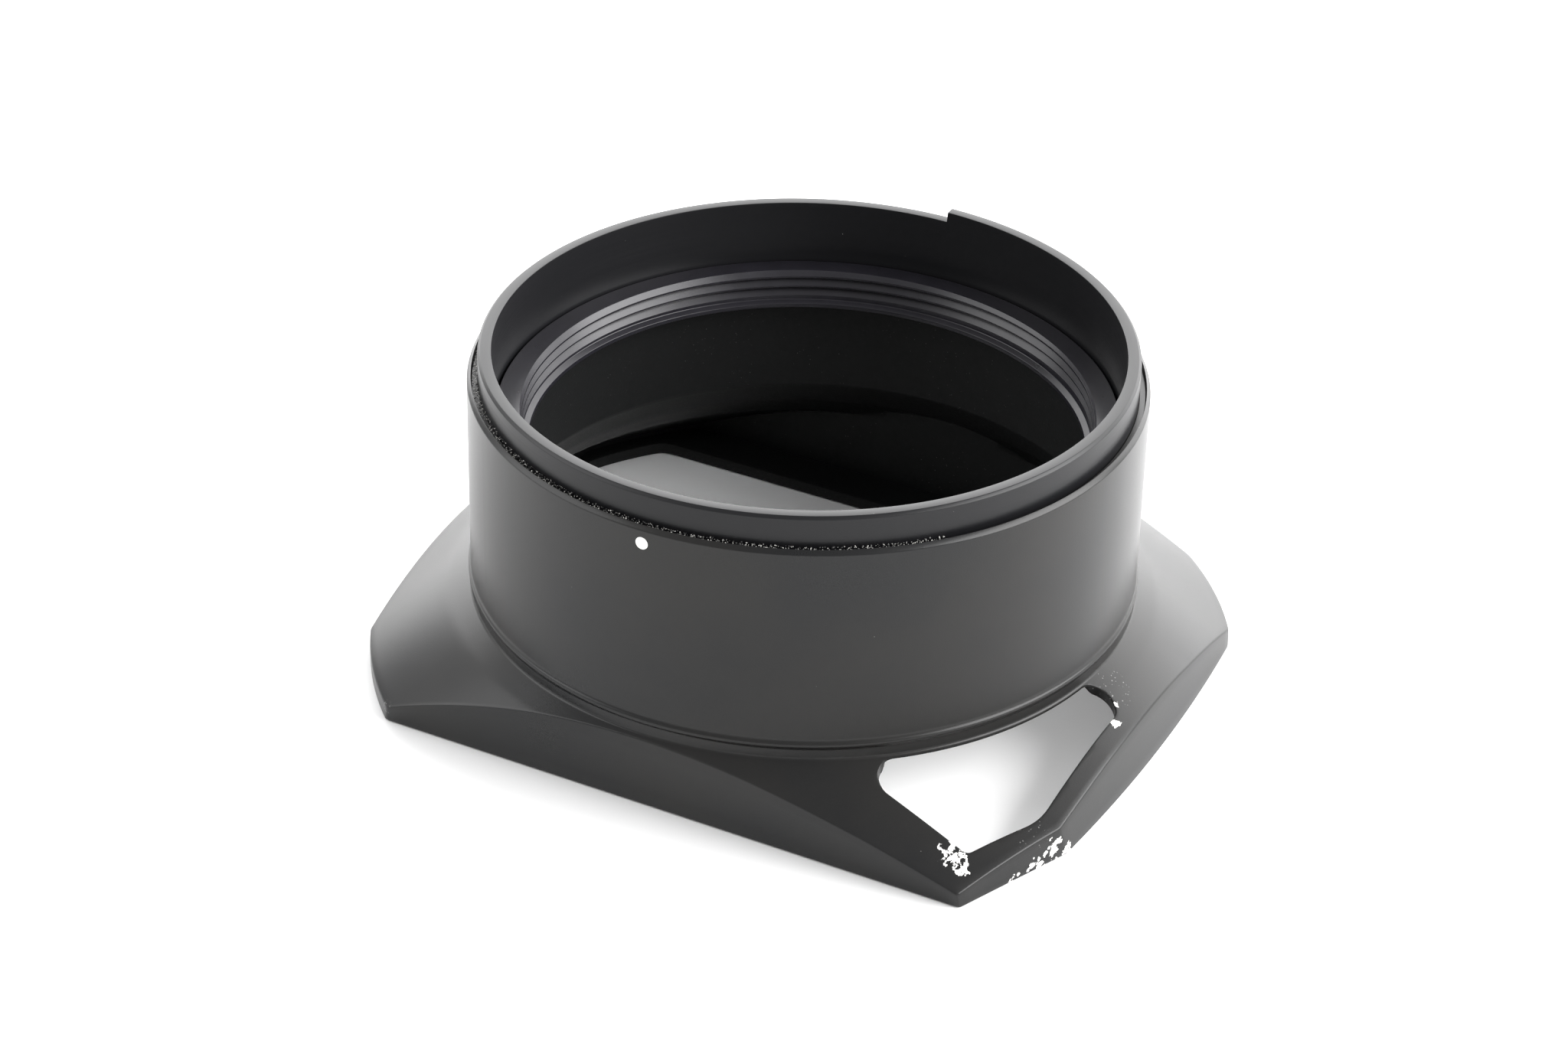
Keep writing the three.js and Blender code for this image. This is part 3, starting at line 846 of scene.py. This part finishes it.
run_geometry(crumbs, scatter, {"Density": CRUMB_DENSITY / MM ** 2, "Size": CRUMB_SIZE * MM,
                               "Seed": CRUMB_SEED, "Material": glue})

# %% [markdown]
# ## Shader arithmetic
#
# A material is a sum of small masks. One class wraps a socket, so a mask is written as a plain
# sum, and one method adds every other kind of node.

# %% Shader arithmetic


class Field:
    """A number that changes over a surface; arithmetic on it adds Math nodes."""

    def __init__(self, tree, socket):
        self.tree, self.socket = tree, socket

    def math(self, operation, *values):
        sockets = {i: v.socket if isinstance(v, Field) else v for i, v in enumerate(values)}
        made = add_node(self.tree, "ShaderNodeMath", {"operation": operation}, sockets)
        return Field(self.tree, made.outputs[0])

    def __add__(self, other):
        return self.math("ADD", self, other)

    def __sub__(self, other):
        return self.math("SUBTRACT", self, other)

    def __rsub__(self, other):
        return self.math("SUBTRACT", other, self)

    def __mul__(self, other):
        return self.math("MULTIPLY", self, other)

    __radd__, __rmul__ = __add__, __mul__

    def most(self, other):
        return self.math("MAXIMUM", self, other)

    def rise(self, low, high):
        """0 below low, 1 above high, and smooth between."""
        made = add_node(self.tree, "ShaderNodeMapRange", {"interpolation_type": "SMOOTHSTEP"},
                        {"Value": self.socket, "From Min": low, "From Max": high})
        return Field(self.tree, made.outputs["Result"])


class Paint:
    """A material's tree with its Principled shader and its place in millimetres."""

    def __init__(self, material):
        material.use_nodes = True
        self.tree = material.node_tree
        self.shader = self.tree.nodes["Principled BSDF"]
        place = self.add("ShaderNodeTexCoord").outputs["Object"]
        scaled = self.add("ShaderNodeVectorMath", {"operation": "SCALE"}, {
            0: place, "Scale": 1000.0})
        self.place = scaled.outputs[0]
        parts = self.add("ShaderNodeSeparateXYZ", inputs={0: self.place})
        self.x, self.y, self.z = (self.field(parts.outputs[k]) for k in range(3))

    def add(self, kind, settings=None, inputs=None):
        return add_node(self.tree, kind, settings, inputs)

    def field(self, socket):
        return Field(self.tree, socket)

    def noise(self, scale, detail=3.0, stretch=None):
        vector = self.place
        if stretch:
            vector = self.add("ShaderNodeVectorMath", {"operation": "MULTIPLY"}, {
                0: vector, 1: stretch}).outputs[0]
        made = self.add("ShaderNodeTexNoise", inputs={
            "Vector": vector, "Scale": scale, "Detail": detail})
        return self.field(made.outputs[0])

    def specks(self, scale, size):
        """Small round dots, one to a cell, of different brightness."""
        made = self.add("ShaderNodeTexVoronoi", inputs={"Vector": self.place, "Scale": scale})
        return 1 - self.field(made.outputs["Distance"]).rise(size * 0.6, size)

    def near(self, centre, reach):
        """1 at a place and 0 from a distance outwards."""
        made = self.add("ShaderNodeVectorMath", {"operation": "DISTANCE"}, {
            0: self.place, 1: centre})
        return 1 - self.field(made.outputs["Value"]) * (1 / reach)

    def mix(self, mask, first, second):
        """One colour turning into another where a mask is 1."""
        made = self.add("ShaderNodeMix", {"data_type": "RGBA"}, {0: mask.socket})
        for key, colour in ((6, first), (7, second)):
            if isinstance(colour, bpy.types.NodeSocket):
                self.tree.links.new(colour, made.inputs[key])
            else:
                made.inputs[key].default_value = (*colour, 1)
        return made.outputs[2]

    def set(self, key, value):
        if isinstance(value, Field):
            value = value.socket
        if isinstance(value, bpy.types.NodeSocket):
            self.tree.links.new(value, self.shader.inputs[key])
        else:
            self.shader.inputs[key].default_value = value

    def bump(self, height, distance, strength=1.0):
        made = self.add("ShaderNodeBump", inputs={
            "Height": height.socket, "Distance": distance, "Strength": strength})
        self.tree.links.new(made.outputs[0], self.shader.inputs["Normal"])

# %% [markdown]
# ## Black enamel, worn through at one corner
#
# Satin black enamel covers the outside. Years in a bag have knocked it off the window's corner,
# so bare aluminium shows there in ragged flakes. The flakes are places near a few centres, made
# ragged by noise. Dust is a sparse field of tiny dots.

# %% Black enamel
enamel = Paint(black_enamel)
cloud = enamel.noise(0.06, 4)
grain_noise = enamel.noise(9.0, 2)
ragged = enamel.noise(1.6, 6)
fine_ragged = enamel.noise(5.0, 3)
dust = enamel.specks(1.1, 0.05) * enamel.noise(0.35, 1).rise(0.62, 0.7)
flakes = [
    ((29.0, -27.4, 3.5), 1.7), ((30.2, -28.2, 2.6), 0.9), ((28.6, -26.6, 4.0), 0.9),
    ((34.9, -19.8, 1.3), 1.5), ((34.2, -21.4, 0.3), 1.4), ((33.2, -24.0, 0.0), 0.9),
    ((35.7, -18.0, 0.5), 0.9),
    ((34.5, -5.9, 6.1), 0.8), ((33.9, -3.9, 6.8), 0.45),
]
worn = None
for centre, reach in flakes:
    here = enamel.near(centre, reach)
    worn = here if worn is None else worn.most(here)
raggedness = worn * 0.9 + (ragged - 0.5) * 3.6 + (fine_ragged - 0.5) * 0.7
chips = raggedness.rise(0.44, 0.52) * worn.rise(0.0, 0.1)
window_pits = enamel.near((32.6, -2.6, 7.3), 2.6).rise(0.0, 0.5)
facet_pits = enamel.near((33.6, -21.4, 3.4), 2.2).rise(0.0, 0.6)
pits_area = window_pits.most(facet_pits * 0.7)
pits = enamel.specks(3.2, 0.26) * pits_area * enamel.noise(2.2, 2).rise(0.5, 0.56)
corner_wear = enamel.near((-27.6, -30.4, 1.6), 1.2).rise(0, 0.6)
corner_wear = corner_wear * (ragged * 0.6 + fine_ragged * 0.4).rise(0.56, 0.6)
bare = chips.most(pits * 0.2).most(corner_wear * 0.25)
tone = enamel.mix(cloud.rise(0.35, 0.65), (0.0075, 0.0077, 0.0082), (0.011, 0.0106, 0.0102))
tone = enamel.mix(dust * 0.5, tone, (0.35, 0.34, 0.32))
tone = enamel.mix(bare, tone, (0.80, 0.79, 0.77))
enamel.set("Base Color", tone)
enamel.set("Metallic", bare * 0.25)
enamel.set("Roughness", (0.3 + (cloud - 0.5) * 0.1 + (grain_noise - 0.5) * 0.06).most(bare * 0.5))
enamel.set("Specular IOR Level", 0.27)
enamel.bump(grain_noise * 0.35 + chips * -2.2 + pits * -1.5, 0.00003, 0.5)

# %% [markdown]
# ## The inside, matt black
#
# The inside is dull so that stray light dies there. Fine dust has settled on the wall that
# faces the light.

# %% Matt black inside
inside = Paint(matt_black)
patches = inside.noise(0.16, 2).rise(0.42, 0.62)
settled = inside.specks(2.6, 0.13) * patches * inside.noise(1.9, 1).rise(0.46, 0.6)
inside.set("Base Color", inside.mix(settled * 0.45, (0.0065, 0.0068, 0.007), (0.16, 0.165, 0.16)))
inside.set("Roughness", 0.5 + (inside.noise(5.0, 2) - 0.5) * 0.16)
inside.set("Specular IOR Level", 0.22)
inside.bump(inside.noise(7.0, 3), 0.00002, 0.5)

# %% [markdown]
# ## Anodised collar and ring, glue and paint
#
# Turned and anodised metal is a dark metal-like surface with faint rings from the tool. The rings
# follow height, so one stretched noise draws them all.

# %% The other finishes
collar_paint = Paint(black_anodised)
rings = collar_paint.noise(1.0, 3, (0.02, 0.02, 9.0))
collar_dust = collar_paint.specks(1.3, 0.05) * collar_paint.noise(0.4, 1).rise(0.6, 0.68)
collar_tone = collar_paint.mix(collar_dust * 0.6, (0.007, 0.007, 0.008), (0.5, 0.5, 0.48))
collar_paint.set("Base Color", collar_tone)
collar_paint.set("Roughness", 0.37 + (rings - 0.5) * 0.14)
collar_paint.set("Specular IOR Level", 0.26)
collar_paint.bump(rings, 0.00001, 0.3)

ring_paint = Paint(ring_anodised)
ring_cloud = ring_paint.noise(0.5, 3)
ring_tone = ring_paint.mix(ring_cloud, (0.009, 0.0085, 0.0115), (0.017, 0.016, 0.021))
ring_paint.set("Base Color", ring_tone)
ring_paint.set("Metallic", 0.1)
ring_paint.set("Specular IOR Level", 0.4)
ring_paint.set("Roughness", 0.3 + (ring_cloud - 0.5) * 0.12)
ring_paint.bump(ring_paint.noise(6.0, 2), 0.00001, 0.3)

glue_paint = Paint(glue)
glue_noise = glue_paint.noise(3.0, 2)
glue_tone = glue_paint.mix(glue_noise.rise(0.42, 0.66), (0.05, 0.05, 0.05), (0.6, 0.59, 0.56))
glue_paint.set("Base Color", glue_tone)
glue_paint.set("Roughness", 0.55 + (glue_noise - 0.5) * 0.3)

dot_paint = Paint(white_paint)
dot_noise = dot_paint.noise(3.0, 3)
dot_tone = dot_paint.mix(dot_noise.rise(0.3, 0.7), (0.78, 0.78, 0.76), (0.66, 0.66, 0.64))
dot_paint.set("Base Color", dot_tone)
dot_paint.set("Roughness", 0.5 + (dot_noise - 0.5) * 0.2)
dot_paint.bump(dot_noise, 0.00003, 0.4)

# %% Put the pieces on the frame
for piece, angle in ((body, 32), (collar, 32), (thread_ring, 30), (dot, 50)):
    piece.data.shade_smooth()
    piece.data.set_sharp_from_angle(angle=math.radians(angle))
for piece, node, slot in (
        (body, "hood_body", "black_enamel"), (collar, "mount_collar", "black_anodised"),
        (thread_ring, "thread_ring", "ring_anodised"), (dot, "index_dot", "white_paint")):
    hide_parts(node)
    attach(piece, "root")
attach(crumbs, "root")

# %% [markdown]
# ## Floor and light
#
# Black objects are drawn by what they reflect. A white table and large soft lights to the
# sides and behind give the pale edges on the tube, and leave its front dark.

# %% Floor and light
floor_mesh = bpy.data.meshes.new("floor")
floor_corners = [(-0.6, -0.6, 0), (0.6, -0.6, 0), (0.6, 0.9, 0), (-0.6, 0.9, 0)]
floor_mesh.from_pydata(floor_corners, [], [(0, 1, 2, 3)])
floor = bpy.data.objects.new("floor", floor_mesh)
bpy.context.scene.collection.objects.link(floor)
floor.location.z = -0.0001
paper = bpy.data.materials.new("paper")
paper_paint = Paint(paper)
paper_paint.set("Base Color", (0.93, 0.93, 0.93, 1))
paper_paint.set("Roughness", 0.8)
floor_mesh.materials.append(paper)

world = bpy.data.worlds.new("studio")
world.use_nodes = True
world.node_tree.nodes["Background"].inputs["Color"].default_value = (1, 1, 1, 1)
world.node_tree.nodes["Background"].inputs["Strength"].default_value = 0.62
bpy.context.scene.world = world
bpy.context.scene.view_settings.view_transform = "Standard"


def softbox(name, azimuth, elevation, distance, width, height, power):
    """A soft square light that faces the hood from a direction."""
    data = bpy.data.lights.new(name, "AREA")
    data.shape = "RECTANGLE"
    data.size = width
    data.size_y = height
    data.energy = power
    lamp = bpy.data.objects.new(name, data)
    bpy.context.scene.collection.objects.link(lamp)
    a, e = math.radians(azimuth), math.radians(elevation)
    place = Vector((math.cos(a) * math.cos(e), math.sin(a) * math.cos(e), math.sin(e))) * distance
    lamp.location = place
    lamp.rotation_euler = place.to_track_quat("Z", "Y").to_euler()


softbox("back_light", 108, 24, 1.0, 2.4, 0.9, 36)
softbox("left_light", 205, 30, 0.9, 0.7, 0.6, 5)
softbox("right_light", 15, 30, 0.9, 0.9, 0.6, 20)
